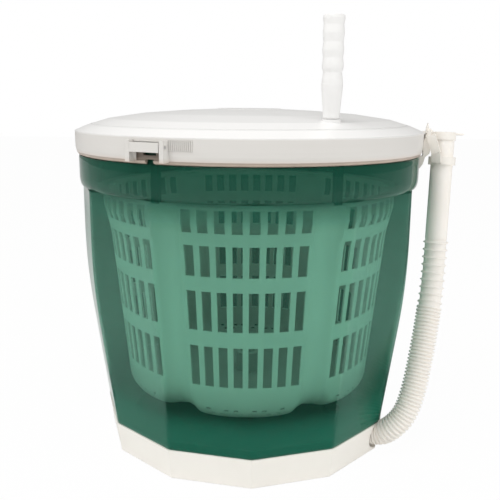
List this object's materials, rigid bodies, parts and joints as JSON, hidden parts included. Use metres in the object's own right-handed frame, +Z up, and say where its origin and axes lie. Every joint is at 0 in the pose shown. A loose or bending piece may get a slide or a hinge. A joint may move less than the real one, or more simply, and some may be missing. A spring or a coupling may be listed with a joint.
{
  "type": "laundry spin dryer",
  "caption": "Countertop hand-cranked laundry tub: geared crank lid with latches over a translucent twelve-sided tub, a slotted spinning basket and a ribbed drain hose.",
  "frame": {"origin": "on the floor at the tub's axis, the underside of the central rubber pad", "axes": "+Z up along the tub's and basket's axis, -Y towards the front view, +X to the side with the drain hose"},
  "size_m": [0.3955, 0.356, 0.4275],
  "materials": {
    "green_tub": "deep translucent green, glossy",
    "seal_rubber": "matt black rubber",
    "white_base": "white moulded plastic, satin gloss",
    "steel": "turned stainless steel",
    "bush_nylon": "natural nylon",
    "gear_nylon": "natural nylon, moulded",
    "grey_plastic": "dark grey moulded plastic",
    "milky_basket": "pale milky plastic",
    "white_lid": "white moulded plastic, satin",
    "white_grip": "white moulded plastic, satin",
    "cream_hose": "cream flexible plastic",
    "cream_fitting": "white moulded plastic, slightly soft"
  },
  "bodies": {
    "tub": {"tub_shell": "green_tub", "rim_seal": "seal_rubber", "base_shell": "white_base", "centre_pad": "seal_rubber", "rubber_foot_1": "seal_rubber", "rubber_foot_2": "seal_rubber", "rubber_foot_3": "seal_rubber", "rubber_foot_4": "seal_rubber", "rubber_foot_5": "seal_rubber", "rubber_foot_6": "seal_rubber", "base_screw_1": "steel", "base_screw_2": "steel", "base_screw_3": "steel", "pivot_pin": "steel", "thrust_washer": "bush_nylon", "drain_elbow": "grey_plastic", "drain_hose": "cream_hose", "hose_pipe": "cream_hose", "hose_collar": "cream_fitting", "hose_hook": "cream_fitting", "hose_strap": "cream_fitting"},
    "hose_cap_body": {"hose_cap": "cream_fitting"},
    "basket": {"basket_shell": "milky_basket", "basket_rim": "milky_basket", "basket_bush": "bush_nylon"},
    "lid": {"lid_frame": "white_lid", "lid_deck": "white_lid", "deck_bush": "bush_nylon", "ring_gear": "gear_nylon", "ring_screw_1": "steel", "ring_screw_2": "steel", "ring_screw_3": "steel", "latch_pin_1": "steel", "latch_pin_2": "steel", "latch_pin_3": "steel"},
    "crank": {"crank_disc": "white_lid", "centre_cap": "white_lid", "grip_pin": "steel", "planet_pin_1": "steel", "planet_pin_2": "steel", "planet_pin_3": "steel"},
    "grip": {"grip_sleeve": "white_grip"},
    "drive": {"sun_gear": "gear_nylon", "drive_spider": "grey_plastic", "spider_nut": "steel"},
    "planet_1": {"planet_gear_1": "gear_nylon"},
    "planet_2": {"planet_gear_2": "gear_nylon"},
    "planet_3": {"planet_gear_3": "gear_nylon"},
    "latch_1": {"latch_flap_1": "white_lid"},
    "latch_2": {"latch_flap_2": "white_lid"},
    "latch_3": {"latch_flap_3": "white_lid"}
  },
  "joints": [
    {"name": "lid_lift", "type": "slide", "parent": "tub", "child": "lid", "axis": [0, 0, 1], "range_m": [0, 0.22]},
    {"name": "crank_turn", "type": "hinge", "parent": "lid", "child": "crank", "pos_m": [0, 0, 0.34], "axis": [0, 0, 1], "continuous": true},
    {"name": "grip_spin", "type": "hinge", "parent": "crank", "child": "grip", "pos_m": [0.06816, -0.11999, 0.34], "axis": [0, 0, 1], "continuous": true},
    {"name": "drive_spin", "type": "hinge", "parent": "lid", "child": "drive", "pos_m": [0, 0, 0.33], "axis": [0, 0, 1], "continuous": true},
    {"name": "basket_spin", "type": "hinge", "parent": "tub", "child": "basket", "pos_m": [0, 0, 0.06], "axis": [0, 0, 1], "continuous": true},
    {"name": "planet_spin_1", "type": "hinge", "parent": "crank", "child": "planet_1", "pos_m": [0.042, 0, 0.329], "axis": [0, 0, 1], "continuous": true},
    {"name": "planet_spin_2", "type": "hinge", "parent": "crank", "child": "planet_2", "pos_m": [-0.021, 0.03637, 0.329], "axis": [0, 0, 1], "continuous": true},
    {"name": "planet_spin_3", "type": "hinge", "parent": "crank", "child": "planet_3", "pos_m": [-0.021, -0.03637, 0.329], "axis": [0, 0, 1], "continuous": true},
    {"name": "latch_swing_1", "type": "hinge", "parent": "lid", "child": "latch_1", "pos_m": [-0.09075, -0.15718, 0.3175], "axis": [-0.866, 0.5, 0], "range_deg": [0, 75]},
    {"name": "latch_swing_2", "type": "hinge", "parent": "lid", "child": "latch_2", "pos_m": [0.1815, 0, 0.3175], "axis": [0, -1, 0], "range_deg": [0, 75]},
    {"name": "latch_swing_3", "type": "hinge", "parent": "lid", "child": "latch_3", "pos_m": [-0.09075, 0.15718, 0.3175], "axis": [0.866, 0.5, 0], "range_deg": [0, 75]},
    {"name": "cap_lift", "type": "slide", "parent": "tub", "child": "hose_cap_body", "axis": [0.0414, 0.0999, 0.9941], "range_m": [0, 0.02]}
  ],
  "couplings": [
    {"joint": "drive_spin", "follows": "crank_turn", "ratio": 4},
    {"joint": "basket_spin", "follows": "crank_turn", "ratio": 4},
    {"joint": "planet_spin_1", "follows": "crank_turn", "ratio": -3},
    {"joint": "planet_spin_2", "follows": "crank_turn", "ratio": -3},
    {"joint": "planet_spin_3", "follows": "crank_turn", "ratio": -3}
  ]
}
